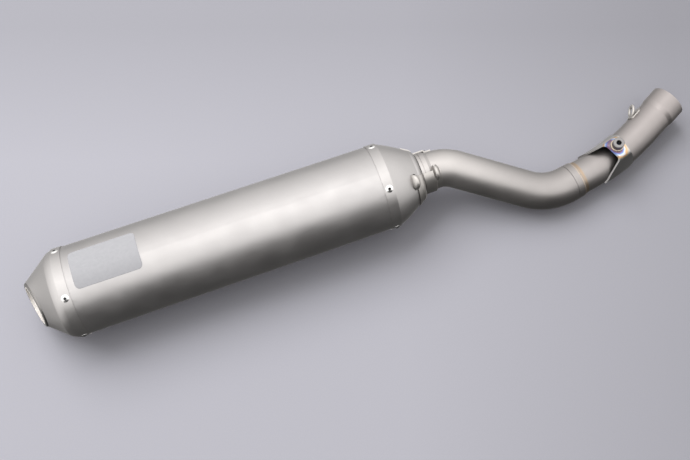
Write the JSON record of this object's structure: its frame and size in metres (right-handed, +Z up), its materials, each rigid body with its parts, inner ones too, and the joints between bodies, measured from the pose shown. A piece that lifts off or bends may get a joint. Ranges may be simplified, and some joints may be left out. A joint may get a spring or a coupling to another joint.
{
  "type": "racing exhaust system",
  "caption": "Round packed motorcycle muffler with riveted caps and rolled mouth, sprung slip joint, and S-bent link pipe with threaded hanger bracket and flared inlet sleeve",
  "frame": {"origin": "bottom centre of the whole exhaust's box, on the floor it lies on", "axes": "+X along the muffler's axis from the outlet to the inlet, +Y away from the side with the near spring hooks, +Z up"},
  "size_m": [0.8868, 0.1516, 0.1159],
  "materials": {
    "blasted_titanium": "bead-blasted titanium sheet, soft highlight",
    "blasted_cap": "bead-blasted titanium cap",
    "polished_rim": "polished rolled lip and liner",
    "tube_titanium": "satin titanium tube",
    "bracket_titanium": "satin sheet with blue and straw heat tint near its welds",
    "hook_titanium": "satin cast hooks and plates",
    "weld_bead": "weld bead with straw tint",
    "rivet_aluminium": "bright blind rivets",
    "inner_steel": "plain steel, sooty inside",
    "seal_graphite": "dark graphite-filled seal",
    "glass_wool": "pale yellow glass wool",
    "steel_wool": "steel wool",
    "badge_print": "plain grey heat-proof badge"
  },
  "bodies": {
    "muffler": {"outer_sleeve": "blasted_titanium", "outlet_cap": "blasted_cap", "outlet_lip": "polished_rim", "outlet_liner": "polished_rim", "inlet_cap": "blasted_cap", "inlet_socket": "inner_steel", "perforated_core": "inner_steel", "steel_wool_wrap": "steel_wool", "glass_wool_packing": "glass_wool", "outlet_support_ring": "inner_steel", "inlet_support_ring": "inner_steel", "outlet_rivets": "rivet_aluminium", "inlet_rivets": "rivet_aluminium", "near_cap_saddle": "hook_titanium", "near_cap_hook": "hook_titanium", "far_cap_saddle": "hook_titanium", "far_cap_hook": "hook_titanium", "badge": "badge_print"},
    "slip_seal": {"seal_bush": "seal_graphite"},
    "link_pipe": {"joint_collar": "tube_titanium", "near_pipe_saddle": "hook_titanium", "near_pipe_hook": "hook_titanium", "far_pipe_saddle": "hook_titanium", "far_pipe_hook": "hook_titanium", "front_tube": "tube_titanium", "coupling_ring": "tube_titanium", "coupling_weld": "weld_bead", "rear_tube": "tube_titanium", "inlet_sleeve": "tube_titanium", "inlet_saddle": "hook_titanium", "inlet_hook": "hook_titanium", "hanger_bracket": "bracket_titanium", "bracket_boss": "bracket_titanium", "boss_weld": "weld_bead"}
  },
  "joints": [
    {"name": "slip_slide", "type": "slide", "parent": "muffler", "child": "slip_seal", "axis": [1, 0, 0], "range_m": [0, 0.03]},
    {"name": "slip_swivel", "type": "hinge", "parent": "slip_seal", "child": "link_pipe", "pos_m": [0.07546, 0.01789, 0.05798], "axis": [1, 0, 0], "continuous": true}
  ]
}
